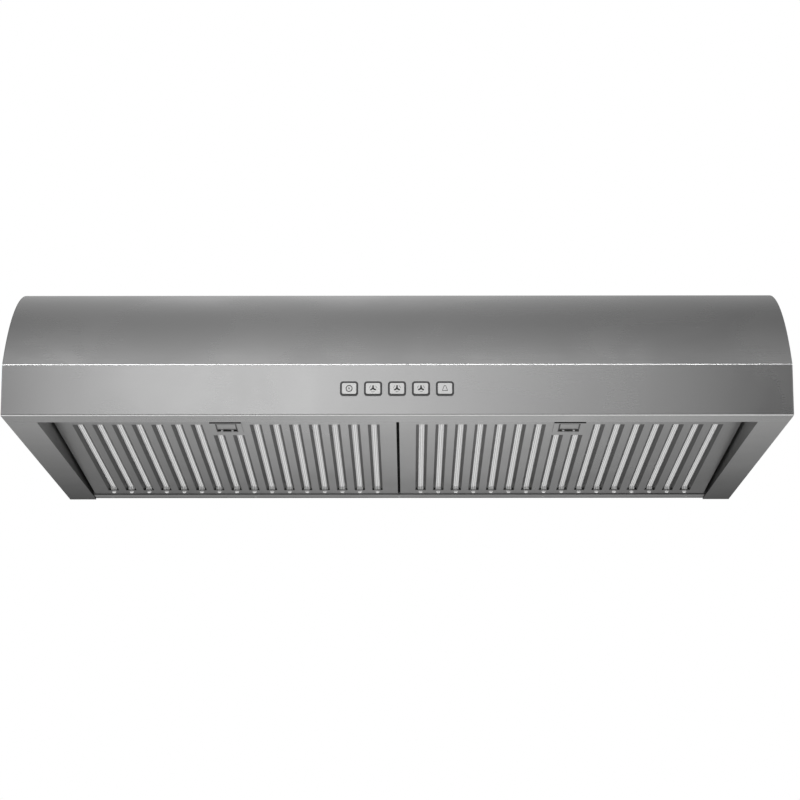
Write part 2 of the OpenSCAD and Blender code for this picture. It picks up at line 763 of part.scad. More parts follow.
module wiring_box_cover() color("gray") in_hood() {
    block(box_low - [0, 0, box_wall], box_low + [box_size[0], box_size[1], 0]);
    for (x = [box_wall, box_size[0] - 2 * box_wall])
        block(box_low + [x, 6, -eps], box_low + [x + box_wall, 60, 8]);
}

module cable_gland() color("dimgray") in_hood()
    translate([box_mid[0], box_mid[1], hood_h]) difference() {
        union() {
            translate([0, 0, -10]) cylinder(r = gland_r + 2.9, h = 14);
            cylinder(r = gland_r + 6, h = 3);
            translate([0, 0, 3 - eps]) cylinder(r = gland_r + 4, h = 9, $fn = 6);
            translate([0, 0, -6]) cylinder(r = gland_r + 6, h = 3.7);
        }
        translate([0, 0, -11]) cylinder(r = gland_r, h = 24);
    }

// straight run of wire from a to b, past b by its own radius so that runs join
module wire(a, b) {
    d = b - a;
    translate(a) rotate([0, acos(d[2] / norm(d)), atan2(d[1], d[0])])
        cylinder(r = wire_r, h = norm(d) + wire_r);
}

module wire_run(route)
    for (i = [1 : len(route) - 1]) wire(route[i - 1], route[i]);

module wiring_harness() color("black") in_hood() {
    wire_run([[box_low[0] + 8, box_mid[1], wire_z], [wire_x, box_mid[1], wire_z],
              [wire_x, 320, wire_z], [wire_x, 320, 60],
              [60, 320, 60], [60, 60, 60], [60, 60, 54], [60, 38, 54]]);
    wire_run([[wire_x, 345, wire_z], [20, 345, wire_z], [20, 345, blower_z],
              [20, blower_y - motor_r - 3, blower_z]]);
}

// ---- fasteners ----

// hole for a screw of that shank radius, through the sheets above and below its place
module screw_hole(r) translate([0, 0, -8]) cylinder(r = r + screw_play, h = 16);

module at_light_panel_screws() for (y = end_screws_y)
    translate([recess_w / 2 - 0.2 - sheet, y, panel_z + end_screw_z]) rotate([0, -90, 0]) children();

module light_panel_screw_holes() at_light_panel_screws() screw_hole(light_screw_r);

module at_collar_screws() for (sx = [-1, 0, 1], sy = [-1, 1])
    translate([sx * collar_screw_x, collar_y + sy * (collar_d + collar_flange) / 2, hood_h + sheet])
        children();

module at_bracket_screws() for (sy = [-1, 1])
    translate([0, blower_y + sy * bracket_screw_y, plenum_z - 1.5]) mirror([0, 0, 1]) children();

module at_rail_screws() for (i = [-2 : 2])
    translate([i * rail_screw_pitch, hood_d - back_lip / 2, rail_z + 2 * sheet]) children();

module light_panel_screws() color("lightgray") in_hood()
    for (side = [-1, 1]) mirrored(side) at_light_panel_screws() pan_screw(light_screw_r, 5);

module collar_screws() color("lightgray") in_hood() at_collar_screws() pan_screw(collar_screw_r, 6);

module bracket_screws() color("lightgray") in_hood() at_bracket_screws() pan_screw(bracket_screw_r, 4);

module rail_screws() color("lightgray") in_hood() at_rail_screws() pan_screw(rail_screw_r, 2 * sheet);

front_panel();
side_panel(-1);  // left_side_panel
side_panel(1);  // right_side_panel
top_panel();
back_panel();
rear_rail();
light_panel();
lamp_housing(-1);  // left_lamp_housing
lamp_housing(1);  // right_lamp_housing
lamp_lens(-1);  // left_lamp_lens
lamp_lens(1);  // right_lamp_lens
lamp_boards();
button_bezel();
button(0);  // power_button
button(1);  // low_speed_button
button(2);  // medium_speed_button
button(3);  // high_speed_button
button(4);  // lamp_button
button_springs();
switch_block();
control_board();
filter_face(-1);  // left_filter_face
filter_face(1);  // right_filter_face
filter_back(-1);  // left_filter_back
filter_back(1);  // right_filter_back
filter_hooks(-1);  // left_filter_hooks
filter_hooks(1);  // right_filter_hooks
hinge_brackets();
latch_plate(-1);  // left_latch_plate
latch_plate(1);  // right_latch_plate
latch_tab(-1);  // left_latch_tab
latch_tab(1);  // right_latch_tab
latch_spring(-1);  // left_latch_spring
latch_spring(1);  // right_latch_spring
scroll(-1);  // left_scroll
scroll(1);  // right_scroll
impeller(-1);  // left_impeller
impeller(1);  // right_impeller
motor_shaft();
motor_rotor();
motor_stator();
motor_can();
motor_end_cap();
motor_bearings();
motor_bracket();
run_capacitor();
capacitor_clamp();
outlet_plenum();
duct_collar();
damper_flap();
wiring_box();
wiring_box_cover();
cable_gland();
wiring_harness();
light_panel_screws();
collar_screws();
bracket_screws();
rail_screws();
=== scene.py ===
import json
import math

import bmesh
import bpy
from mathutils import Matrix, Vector

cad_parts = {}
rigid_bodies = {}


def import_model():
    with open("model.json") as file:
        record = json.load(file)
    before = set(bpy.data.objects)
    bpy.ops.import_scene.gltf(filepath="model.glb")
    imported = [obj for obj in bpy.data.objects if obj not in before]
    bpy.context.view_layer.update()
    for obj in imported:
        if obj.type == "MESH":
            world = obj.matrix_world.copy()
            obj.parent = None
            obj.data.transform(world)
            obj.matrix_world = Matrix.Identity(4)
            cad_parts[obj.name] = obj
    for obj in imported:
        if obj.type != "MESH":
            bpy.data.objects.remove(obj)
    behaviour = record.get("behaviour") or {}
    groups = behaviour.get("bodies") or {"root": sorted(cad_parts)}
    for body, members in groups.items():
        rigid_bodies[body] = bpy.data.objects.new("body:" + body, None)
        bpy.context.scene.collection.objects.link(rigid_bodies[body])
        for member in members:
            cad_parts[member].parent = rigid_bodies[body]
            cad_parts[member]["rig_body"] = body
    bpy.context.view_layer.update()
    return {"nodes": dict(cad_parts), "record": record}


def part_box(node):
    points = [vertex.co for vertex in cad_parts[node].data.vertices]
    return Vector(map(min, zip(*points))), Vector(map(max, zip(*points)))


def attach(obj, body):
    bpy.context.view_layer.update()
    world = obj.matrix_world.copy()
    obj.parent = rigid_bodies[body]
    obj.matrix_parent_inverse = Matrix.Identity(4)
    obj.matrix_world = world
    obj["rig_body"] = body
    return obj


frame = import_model()

MM = 0.001
NODES = frame["nodes"]
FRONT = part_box("front_panel")[0].y      # plane of the fascia
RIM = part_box("front_panel")[0].z        # plane of the bottom rims
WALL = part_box("back_panel")[1].y        # plane of the kitchen wall
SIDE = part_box("right_side_panel")[1].x  # plane of the right side; the left one mirrors it


# ---- materials ----

class Surface:
    """A procedural material: a Principled shader with short calls that add nodes to it."""

    def __init__(self, name, colour, metallic, roughness, **sockets):
        self.mat = bpy.data.materials.new(name)
        self.mat.use_nodes = True
        self.tree = self.mat.node_tree
        self.shader = self.tree.nodes["Principled BSDF"]
        self.colour = colour
        self.set("Base Color", (*colour, 1))
        self.set("Metallic", metallic)
        self.set("Roughness", roughness)
        for socket, value in sockets.items():
            self.set(socket.replace("_", " "), value)
        self.place = self.tree.nodes.new("ShaderNodeTexCoord").outputs["Object"]
        self.paint = None       # the last base colour that tint linked
        self.height = None      # the last layer of relief that bump linked

    def set(self, socket, value):
        self.shader.inputs[socket].default_value = value

    def link(self, source, target):
        self.tree.links.new(source, target)

    def noise(self, stretch, detail=4.0, distortion=0.0):
        """Noise whose frequency along X, Y and Z is stretch, in cycles per metre."""
        scale = self.tree.nodes.new("ShaderNodeMapping")
        scale.inputs["Scale"].default_value = stretch
        self.link(self.place, scale.inputs["Vector"])
        noise = self.tree.nodes.new("ShaderNodeTexNoise")
        noise.inputs["Scale"].default_value = 1.0
        noise.inputs["Detail"].default_value = detail
        noise.inputs["Lacunarity"].default_value = 2.2
        noise.inputs["Distortion"].default_value = distortion
        self.link(scale.outputs["Vector"], noise.inputs["Vector"])
        return noise.outputs["Fac"]

    def span(self, source, low, high, from_low=0.3, from_high=0.7):
        """source mapped from its usual range to low..high."""
        span = self.tree.nodes.new("ShaderNodeMapRange")
        for name, value in (("From Min", from_low), ("From Max", from_high),
                            ("To Min", low), ("To Max", high)):
            span.inputs[name].default_value = value
        self.link(source, span.inputs["Value"])
        return span.outputs["Result"]

    def along(self, axis):
        """The place along one axis, in metres."""
        parts = self.tree.nodes.new("ShaderNodeSeparateXYZ")
        self.link(self.place, parts.inputs["Vector"])
        return parts.outputs[axis]

    def math(self, operation, a, b):
        node = self.tree.nodes.new("ShaderNodeMath")
        node.operation = operation
        for socket, value in zip(node.inputs, (a, b)):
            if isinstance(value, (int, float)):
                socket.default_value = value
            else:
                self.link(value, socket)
        return node.outputs["Value"]

    def tint(self, factor, dark, light):
        """Base colour between dark and light shares of the material's colour."""
        mix = self.tree.nodes.new("ShaderNodeMix")
        mix.data_type = "RGBA"
        mix.inputs["A"].default_value = (*[c * dark for c in self.colour], 1)
        mix.inputs["B"].default_value = (*[min(c * light, 1) for c in self.colour], 1)
        self.link(factor, mix.inputs["Factor"])
        self.paint = mix.outputs["Result"]
        self.link(self.paint, self.shader.inputs["Base Color"])

    def worn_edges(self, radius, amount, light=1.3):
        """Rubbed edges: patches along the edges, radius wide, go towards a lighter colour. It is
        called after tint."""
        bevel = self.tree.nodes.new("ShaderNodeBevel")
        bevel.samples = 4
        bevel.inputs["Radius"].default_value = radius
        flat = self.tree.nodes.new("ShaderNodeNewGeometry")
        dot = self.tree.nodes.new("ShaderNodeVectorMath")
        dot.operation = "DOT_PRODUCT"
        self.link(bevel.outputs["Normal"], dot.inputs[0])
        self.link(flat.outputs["Normal"], dot.inputs[1])
        edge = self.span(dot.outputs["Value"], amount, 0.0, 0.8, 0.995)
        patches = self.span(self.noise((120.0, 120.0, 120.0), detail=3.0), 0.25, 1.0)
        mix = self.tree.nodes.new("ShaderNodeMix")
        mix.data_type = "RGBA"
        mix.inputs["B"].default_value = (*[min(c * light, 1) for c in self.colour], 1)
        self.link(self.paint, mix.inputs["A"])
        self.link(self.math("MULTIPLY", edge, patches), mix.inputs["Factor"])
        self.link(mix.outputs["Result"], self.shader.inputs["Base Color"])

    def rough(self, source):
        self.link(source, self.shader.inputs["Roughness"])

    def facing(self):
        """The part along X of the direction that the surface faces."""
        parts = self.tree.nodes.new("ShaderNodeSeparateXYZ")
        flat = self.tree.nodes.new("ShaderNodeNewGeometry")
        self.link(flat.outputs["True Normal"], parts.inputs["Vector"])
        return parts.outputs["X"]

    def dull(self, source, least):
        """Metal seen edge on mirrors a share from least, where source is 0, to all where it is 1."""
        self.link(self.span(source, least, 1.0, 0.0, 1.0), self.shader.inputs["Specular Tint"])

    def bump(self, source, strength, distance):
        """Adds a layer of relief, distance high in metres."""
        bump = self.tree.nodes.new("ShaderNodeBump")
        bump.inputs["Strength"].default_value = strength
        bump.inputs["Distance"].default_value = distance
        self.link(source, bump.inputs["Height"])
        if self.height is not None:
            self.link(self.height, bump.inputs["Normal"])
        self.height = bump.outputs["Normal"]
        self.link(self.height, self.shader.inputs["Normal"])

    def grain_along(self, axis):
        """Stretches the shader's highlight across a grain that runs along axis."""
        vector = self.tree.nodes.new("ShaderNodeCombineXYZ")
        for socket, value in zip(vector.inputs, axis):
            socket.default_value = value
        self.link(vector.outputs["Vector"], self.shader.inputs["Tangent"])
        self.set("Anisotropic", 0.5)
        self.set("Anisotropic Rotation", 0.25)


def paint_shade(steel, lines, rear_shade, aside, walls, dulled):
    """Paints shade into sheet that lies inside the hood. Its colour falls, as painted shade, to the
    share rear_shade from the front to the wall, and to the share aside from the middle to the sides.
    It falls to the share walls on faces towards the middle or, where aside is below 1, on every face
    along X. Its shine seen edge on falls with it towards dulled, so the painted shade dims its
    reflections too. The hood's outer side faces keep their full colour."""
    across = steel.along("X")
    facing = steel.facing()
    outward = steel.math("MULTIPLY", facing, across)
    depth = steel.span(steel.along("Y"), 1.0, rear_shade, FRONT + 0.05, WALL)
    middle = steel.span(steel.math("ABSOLUTE", across, 0.0), 1.0, aside, 0.08, SIDE)
    if aside < 1.0:
        wall = steel.span(steel.math("ABSOLUTE", facing, 0.0), 1.0, walls, 0.3, 0.6)
    else:
        wall = steel.span(outward, walls, 1.0, -0.1, -0.01)
    inside = steel.math("MULTIPLY", steel.math("MULTIPLY", depth, middle), wall)
    outside = steel.span(outward, 0.0, 1.0, SIDE - 0.05, SIDE - 0.02)
    share = steel.math("MAXIMUM", inside, outside)
    # painted shade: the share darkens the base colour, and the grain lines ride on it
    steel.tint(steel.math("ADD", share, steel.math("MULTIPLY", lines, 1.5)), 0.0, 1.0)
    steel.dull(share, dulled)


def paint_wall_shadow(steel, lines, wall_shadow):
    """A painted shadow line, wall_shadow wide, along the wall."""
    clear = steel.span(steel.along("Y"), 1.0, 0.0, WALL - wall_shadow - 0.001, WALL - wall_shadow + 0.001)
    # painted shadow: the colour falls to a quarter along the wall
    steel.tint(steel.math("ADD", clear, steel.math("MULTIPLY", lines, 2.0)), 0.25, 1.0)


def draw_hatch(steel, hatch):
    """Fine drawn lines along Y, darker by the share hatch."""
    pitch = 2 * MM
    turns = steel.math("MULTIPLY", steel.along("X"), 2 * math.pi / pitch)
    wave = steel.span(steel.math("SINE", turns, 0.0), 0.0, 1.0, -0.9, 0.2)
    steel.tint(wave, 1.0 - hatch, 1.0)
    steel.bump(wave, 0.5, 0.0002)


def brushed_steel(name, colour, along, roughness, line=0.012, metallic=1.0, rear_shade=1.0, aside=1.0,
                  walls=1.0, dulled=1.0, wall_shadow=0.0, hatch=0.0):
    """Stainless sheet with fine grain along X or Y, faint short wavy streaks and soft smudges. It
    may also carry painted shade inside the hood, have a painted shadow line along the wall or be
    hatched."""
    steel = Surface(name, colour, metallic, roughness)

    def stretched(long, fine):
        return (long, fine, fine) if along == "X" else (fine, long, fine)

    grain = steel.noise(stretched(8.0, 2600.0), detail=3.0)
    streak = steel.noise(stretched(26.0, 420.0), detail=3.0, distortion=0.35)
    smudge = steel.noise((9.0, 9.0, 9.0), detail=3.0, distortion=0.4)
    lines = steel.math("ADD", steel.span(grain, -line, line), steel.span(streak, -line, line))
    if rear_shade < 1.0:
        paint_shade(steel, lines, rear_shade, aside, walls, dulled)
    elif wall_shadow:
        paint_wall_shadow(steel, lines, wall_shadow)
    elif hatch:
        draw_hatch(steel, hatch)
    else:
        steel.tint(steel.math("ADD", steel.math("MULTIPLY", lines, 4.0), 0.5), 0.93, 1.05)
    worn = steel.math("ADD", steel.span(smudge, roughness - 0.03, roughness + 0.05), lines)
    steel.rough(worn)
    steel.bump(grain, 0.08, 0.00004)
    steel.bump(smudge, 0.015, 0.0008)
    steel.grain_along((1, 0, 0) if along == "X" else (0, 1, 0))
    steel.worn_edges(0.0007, 0.2, 1.15)
    return steel.mat


def zinc_sheet(name, colour, roughness=0.42):
    """Galvanised sheet: soft crystal patches and a fine rolled grain."""
    zinc = Surface(name, colour, 0.9, roughness)
    patches = zinc.noise((60.0, 60.0, 60.0), detail=2.0, distortion=1.2)
    rolled = zinc.noise((12.0, 900.0, 900.0), detail=2.0)
    zinc.tint(patches, 0.82, 1.12)
    zinc.rough(zinc.span(patches, roughness - 0.08, roughness + 0.1))
    zinc.bump(rolled, 0.15, 0.00004)
    zinc.worn_edges(0.0008, 0.6)
    return zinc.mat


def moulded_plastic(name, colour, roughness=0.45, **sockets):
    """Plastic with a fine spark-eroded texture and slightly uneven gloss."""
    plastic = Surface(name, colour, 0.0, roughness, **sockets)
    texture = plastic.noise((2500.0, 2500.0, 2500.0), detail=2.0)
    cloud = plastic.noise((40.0, 40.0, 40.0))
    plastic.tint(cloud, 0.88, 1.1)
    plastic.rough(plastic.span(cloud, roughness - 0.06, roughness + 0.08))
    plastic.bump(texture, 0.3, 0.00005)
    plastic.worn_edges(0.0004, 0.4)
    return plastic.mat


def cast_metal(name, colour, metallic, roughness):
    """Painted or bare cast and turned parts with fine relief and uneven shine."""
    metal = Surface(name, colour, metallic, roughness)
    skin = metal.noise((700.0, 700.0, 700.0))
    cloud = metal.noise((50.0, 50.0, 50.0))
    metal.tint(cloud, 0.85, 1.15)
    metal.rough(metal.span(skin, roughness - 0.08, roughness + 0.1))
    metal.bump(skin, 0.2, 0.0001)
    metal.worn_edges(0.0005, 0.5, 1.5)
    return metal.mat


def windings(name, colour):
    """Lacquered copper wire laid side by side."""
    wire = Surface(name, colour, 0.9, 0.32)
    strands = wire.noise((900.0, 30.0, 30.0), detail=1.0)
    wire.tint(strands, 0.6, 1.2)
    wire.rough(wire.span(strands, 0.25, 0.45))
    wire.bump(strands, 0.8, 0.0003)
    return wire.mat


def board(name, colour):
    """Solder mask with faint copper tracks under it."""
    mask = Surface(name, colour, 0.0, 0.3, Coat_Weight=0.3)
    tracks = mask.noise((90.0, 90.0, 420.0), detail=1.0)
    mask.tint(mask.span(tracks, 0.0, 1.0, 0.48, 0.54), 0.7, 1.5)
    mask.rough(mask.span(tracks, 0.25, 0.4))
    mask.bump(tracks, 0.2, 0.00005)
    return mask.mat


def frosted_lens(name):
    lens = Surface(name, (0.93, 0.93, 0.9), 0.0, 0.4, Transmission_Weight=0.5, IOR=1.49)
    prisms = lens.noise((600.0, 600.0, 600.0), detail=1.0)
    lens.tint(prisms, 0.94, 1.02)
    lens.rough(lens.span(prisms, 0.3, 0.5))
    lens.bump(prisms, 0.3, 0.0002)
    return lens.mat


FINISHES = {
    "body_steel": brushed_steel("body_steel", (0.56, 0.56, 0.56), "X", 0.25, line=0.006),
    # the rim and filter sheet carry painted shade: darker towards the wall and the sides and on faces
    # along X, with dimmer reflections
    "rim_steel": brushed_steel("rim_steel", (0.55, 0.55, 0.55), "Y", 0.32, rear_shade=0.25,
                               walls=0.7, dulled=0.35),
    # the rail is a darker copy of the steel, painted shade for the rear of the hood, with a painted
    # shadow line along the wall
    "shaded_rail_steel": brushed_steel("shaded_rail_steel", (0.27, 0.27, 0.27), "X", 0.32, wall_shadow=0.007),
    "filter_steel": brushed_steel("filter_steel", (0.8, 0.8, 0.8), "Y", 0.3, rear_shade=0.33,
                                  aside=0.6, walls=0.55, dulled=0.7),
    # painted reflection: the baffles are a nearly white, barely metallic copy of the steel, lit by
    # the under lamp to shine like the reflection in them
    "baffle_steel": brushed_steel("baffle_steel", (0.95, 0.95, 0.95), "Y", 0.5, metallic=0.15,
                                  hatch=0.45),
    "galvanised": zinc_sheet("galvanised", (0.55, 0.56, 0.57)),
    "bright_steel": cast_metal("bright_steel", (0.66, 0.66, 0.67), 1.0, 0.28),
    # painted highlight: a nearly white, barely metallic copy of the steel for the spouts and the
    # latch's lip blocks, lit by the under lamp
    "spout_steel": cast_metal("spout_steel", (0.95, 0.95, 0.95), 0.1, 0.35),
    "aluminium": cast_metal("aluminium", (0.72, 0.73, 0.74), 1.0, 0.36),
    "black_paint": cast_metal("black_paint", (0.03, 0.03, 0.032), 0.0, 0.4),
    "dark_iron": cast_metal("dark_iron", (0.2, 0.2, 0.21), 0.9, 0.5),
    "copper": windings("copper", (0.7, 0.36, 0.2)),
    "button_silver": moulded_plastic("button_silver", (0.93, 0.93, 0.92), 0.3, Metallic=0.5),
    "bezel_grey": moulded_plastic("bezel_grey", (0.085, 0.085, 0.088), 0.45),
    "icon_ink": moulded_plastic("icon_ink", (0.01, 0.01, 0.01), 0.6, Specular_IOR_Level=0.1),
    "pale_ink": moulded_plastic("pale_ink", (0.22, 0.22, 0.22), 0.5),
    "black_plastic": moulded_plastic("black_plastic", (0.045, 0.045, 0.048)),
    # near black: painted shade in the gap between the filters and in the latch's finger slots, and
    # the black edge strips in front of the latch plates
    "flat_black": moulded_plastic("flat_black", (0.004, 0.004, 0.004), 0.9, Specular_IOR_Level=0.05),
    "circuit_board": board("circuit_board", (0.04, 0.17, 0.08)),
    "white_plastic": moulded_plastic("white_plastic", (0.8, 0.8, 0.78), 0.3),
    "lens": frosted_lens("lens"),
}

SPECIAL = {
    "left_side_panel": "rim_steel", "right_side_panel": "rim_steel",
    "left_filter_back": "baffle_steel", "right_filter_back": "baffle_steel",
    "rear_rail": "shaded_rail_steel", "button_bezel": "bezel_grey",
}


def finish_nodes():
    """Gives every CAD node the finish of its own slot, or its special finish."""
    slots = {part["node"]: part["material_slot"] for part in frame["record"]["subparts"]}
    for name, obj in NODES.items():
        obj.data.materials.clear()
        obj.data.materials.append(FINISHES[SPECIAL.get(name, slots[name])])


finish_nodes()


# ---- icons on the keys ----

INK = 0.12 * MM         # how far the icons stand proud


def solid_strip(bm, left, right, front, closed):
    """A flat bar between two rows of points (x, z), from the plane y = front to one INK behind."""
    rows = [[bm.verts.new((x, y, z)) for x, z in side]
            for side, y in ((left, front), (right, front), (right, front + INK), (left, front + INK))]
    count = len(left)
    for i in range(count if closed else count - 1):
        j = (i + 1) % count
        for a, b in zip(rows, rows[1:] + rows[:1]):
            bm.faces.new((a[i], a[j], b[j], b[i]))
    if not closed:
        bm.faces.new([row[0] for row in rows])
        bm.faces.new([row[-1] for row in reversed(rows)])


def arc(radius, start, end, steps):
    angles = [math.radians(start + (end - start) * i / steps) for i in range(steps + 1)]
    return [(radius * math.cos(a), radius * math.sin(a)) for a in angles]


def arc_bar(bm, middle, radius, width, start, end, front):
    """Part of a ring around middle."""
    steps = max(6, int((end - start) / 9))
    sides = [[(middle[0] + x, middle[1] + z) for x, z in arc(r, start, end, steps)]
             for r in (radius - width / 2, radius + width / 2)]
    closed = end - start >= 360
    if closed:
        sides = [side[:-1] for side in sides]
    solid_strip(bm, sides[0], sides[1], front, closed)


def bar(bm, a, b, widths, front):
    """A bar from a to b; widths are its widths at even steps along it."""
    run = Vector(b) - Vector(a)
    side = Vector((-run.y, run.x)).normalized()
    points = [(Vector(a) + run * i / (len(widths) - 1), w / 2) for i, w in enumerate(widths)]
    solid_strip(bm, [tuple(p + side * w) for p, w in points],
                [tuple(p - side * w) for p, w in points], front, False)


def power_icon(bm, middle, front):
    arc_bar(bm, middle, 2.9 * MM, 0.7 * MM, 0, 360, front)
    x, z = middle
    bar(bm, (x, z - 0.9 * MM), (x, z + 0.9 * MM), [0.9 * MM] * 2, front)


def fan_icon(bm, middle, front):
    for turn in (90, 210, 330):
        a = math.radians(turn)
        way = Vector((math.cos(a), math.sin(a)))
        bar(bm, tuple(Vector(middle) + way * 0.5 * MM), tuple(Vector(middle) + way * 3.2 * MM),
            [w * MM for w in (0.7, 1.0, 1.3, 1.4, 1.2, 0.5)], front)
        arc_bar(bm, middle, 3.3 * MM, 0.3 * MM, turn + 35, turn + 85, front)
    arc_bar(bm, middle, 0.7 * MM, 0.9 * MM, 0, 360, front)


def lamp_icon(bm, middle, front):
    x, z = middle
    arc_bar(bm, (x, z + 1.9 * MM), 0.9 * MM, 0.55 * MM, 20, 160, front)
    for side in (-1, 1):
        bar(bm, (x + side * 0.9 * MM, z + 2.1 * MM), (x + side * 2.5 * MM, z - 1.9 * MM),
            [0.55 * MM] * 2, front)
    bar(bm, (x - 2.6 * MM, z - 2.2 * MM), (x + 2.6 * MM, z - 2.2 * MM), [0.6 * MM] * 2, front)


def finish_mesh(name, bm, finish, body):
    """Turns bm into a piece that rides on a body."""
    bmesh.ops.recalc_face_normals(bm, faces=bm.faces)
    mesh = bpy.data.meshes.new(name)
    bm.to_mesh(mesh)
    bm.free()
    mesh.materials.append(FINISHES[finish])
    obj = bpy.data.objects.new(name, mesh)
    bpy.context.scene.collection.objects.link(obj)
    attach(obj, body)
    return obj


def key_icons():
    for key, draw, ink in (("power_button", power_icon, "icon_ink"),
                           ("low_speed_button", fan_icon, "icon_ink"),
                           ("medium_speed_button", fan_icon, "icon_ink"),
                           ("high_speed_button", fan_icon, "icon_ink"),
                           ("lamp_button", lamp_icon, "pale_ink")):
        low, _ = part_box(key)
        face = [v.co for v in NODES[key].data.vertices if v.co.y < low.y + 0.1 * MM]
        middle = [(min(v[i] for v in face) + max(v[i] for v in face)) / 2 for i in (0, 2)]
        bm = bmesh.new()
        draw(bm, middle, low.y - INK)
        finish_mesh(key.replace("_button", "_icon"), bm, ink, NODES[key]["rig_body"])


key_icons()


# ---- drain spouts of the filters and painted shade in the gap between them ----

def filter_place(side):
    """A filter's lower rear edge: its middle, and the directions ahead and up in its plane."""
    face = side + "_filter_face"
    low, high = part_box(face)
    points = [v.co for v in NODES[face].data.vertices]
    rear = min((p for p in points if p.y > high.y - 3 * MM), key=lambda p: p.z)
    front = min((p for p in points if p.y < low.y + 3 * MM), key=lambda p: p.z)
    ahead = Vector((0, front.y - rear.y, front.z - rear.z)).normalized()
    up = Vector((0, ahead.z, -ahead.y))
    return Vector(((low.x + high.x) / 2, rear.y, rear.z)), ahead, up


def drain_spouts(side):
    """Short turned spouts with a rounded lip, pressed into the drain holes along a filter's
    rear edge."""
    profile = [(1.0, 0.6), (1.0, -1.5), (1.15, -1.95), (1.5, -2.15), (1.85, -1.95), (2.15, -1.4),
               (2.3, -0.7), (2.4, -0.02), (2.35, 0.6)]
    count = 16
    pitch = 20 * MM
    reach = 15 * MM         # from the rear edge to the holes
    steps = 20
    around = [2 * math.pi * k / steps for k in range(steps)]
    corner, ahead, up = filter_place(side)
    bm = bmesh.new()
    for i in range(count):
        hole = corner + Vector(((i - (count - 1) / 2) * pitch, 0, 0)) + ahead * reach
        rings = []
        for radius, rise in profile:
            rings.append([bm.verts.new(hole + up * rise * MM
                          + (Vector((math.cos(a), 0, 0)) + ahead * math.sin(a)) * radius * MM)
                          for a in around])
        for a, b in zip(rings, rings[1:] + rings[:1]):
            for k in range(steps):
                j = (k + 1) % steps
                bm.faces.new((a[k], a[j], b[j], b[k]))
    # the spouts take the nearly white finish, a painted highlight
    spouts = finish_mesh(side + "_drain_spouts", bm, "spout_steel", side + "_filter")
    for polygon in spouts.data.polygons:
        polygon.use_smooth = True


def gap_shade_strip():
    """Black strip along the left filter's inner side, which fills the gap to the right one: painted
    shade, black where the gap lies in shadow.
    """
    corner, ahead, up = filter_place("left")
    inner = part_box("left_filter_face")[1].x
    outline = [(0.0, 1.2), (2.2, 1.2), (2.6, 1.7), (2.7, 4.5), (2.6, 7.4), (2.2, 8.0), (0.0, 8.0)]
    start = 1.5
    step = 2.5
    count = 143
    bm = bmesh.new()
    rows = []
    for n in range(count):
        reach = start + step * n
        swell = 0.06 * math.sin(n * 0.9) + 0.05 * math.sin(n * 0.37)
        rows.append([bm.verts.new(Vector((inner, corner.y, corner.z)) + ahead * reach * MM
                     + Vector((x + (swell if x > 0 else 0), 0, 0)) * MM + up * z * MM)
                     for x, z in outline])
    for a, b in zip(rows, rows[1:]):
        for k in range(len(outline)):
            j = (k + 1) % len(outline)
            bm.faces.new((a[k], a[j], b[j], b[k]))
    bm.faces.new(rows[0])
    bm.faces.new(rows[-1])
    finish_mesh("gap_shade_strip", bm, "flat_black", "left_filter")


def block(bm, corner, ahead, up, low, high):
    """A straight block between two corners, given as x, reach ahead and height in millimetres."""
    ends = [[corner + Vector((x * MM, 0, 0)) + ahead * y * MM + up * z * MM
             for x, z in ((low[0], low[2]), (high[0], low[2]), (high[0], high[2]), (low[0], high[2]))]
            for y in (low[1], high[1])]
    rows = [[bm.verts.new(p) for p in end] for end in ends]
    bm.faces.new(rows[0])
    bm.faces.new(rows[1])
    for k in range(4):
        j = (k + 1) % 4
        bm.faces.new((rows[0][k], rows[0][j], rows[1][j], rows[1][k]))


def latch_trim(side):
    """Black edge strip in front of the latch plate, and on its tab thin side beads, dark as painted
    shade for its shaded sides, and a front bead; black grips on the finger lip, painted shade for the
    dark finger slots, and bright pads between them, a painted highlight on the lit lip."""
    corner, ahead, up = filter_place(side)
    plate = [v.co - corner for v in NODES[side + "_latch_plate"].data.vertices]
    tab = [v.co - corner for v in NODES[side + "_latch_tab"].data.vertices]
    plate_front = max(p.dot(ahead) for p in plate) / MM
    half = max(p.x for p in plate) / MM
    lip = min(p.dot(up) for p in tab)
    rear = min(p.dot(ahead) for p in tab if p.dot(up) < lip + 0.1 * MM) / MM
    lip /= MM
    face = -0.5             # underside of the tab
    tab_half = 10.5
    tab_front = rear + 27.0
    lip_front = rear + 1.02  # just clear of the finger lip
    bead = 1.1              # width of the beads
    proud = 0.5             # how far they stand below the tab

    def trim(name, finish, body, blocks):
        bm = bmesh.new()
        for low, high in blocks:
            block(bm, corner, ahead, up, low, high)
        finish_mesh(side + name, bm, finish, side + body)

    trim("_latch_edge", "flat_black", "_filter",
         [((-half, plate_front + 0.05, -1.5), (half, plate_front + 1.4, -0.02))])
    # painted shade: dark beads along the tab's sides
    trim("_latch_side_shade", "black_paint", "_latch",
         [((x, rear + bead, face - proud), (x + bead, tab_front, face - 0.01))
          for x in (-tab_half, tab_half - bead)])
    trim("_latch_front", "filter_steel", "_latch",
         [((bead - tab_half, tab_front - 1.2, face - proud),
           (tab_half - bead, tab_front, face - 0.01))])
    # painted shade: black blocks where the finger slots are dark
    trim("_latch_slot_shade", "flat_black", "_latch",
         [((low, lip_front, lip + 0.1), (high, rear + 1.5, face - 0.1))
          for low, high in ((-10, -6.5), (-4.2, 4.2), (6.5, 10))])
    # painted highlight: nearly white blocks on the lit lip
    trim("_latch_lip_highlights", "spout_steel", "_latch",
         [((low, lip_front, lip - 0.3), (high, rear + 1.9, face - 0.3))
          for low, high in ((-6.4, -4.3), (4.3, 6.4))])


drain_spouts("left")
drain_spouts("right")
gap_shade_strip()
latch_trim("left")
latch_trim("right")


# ---- studio ----

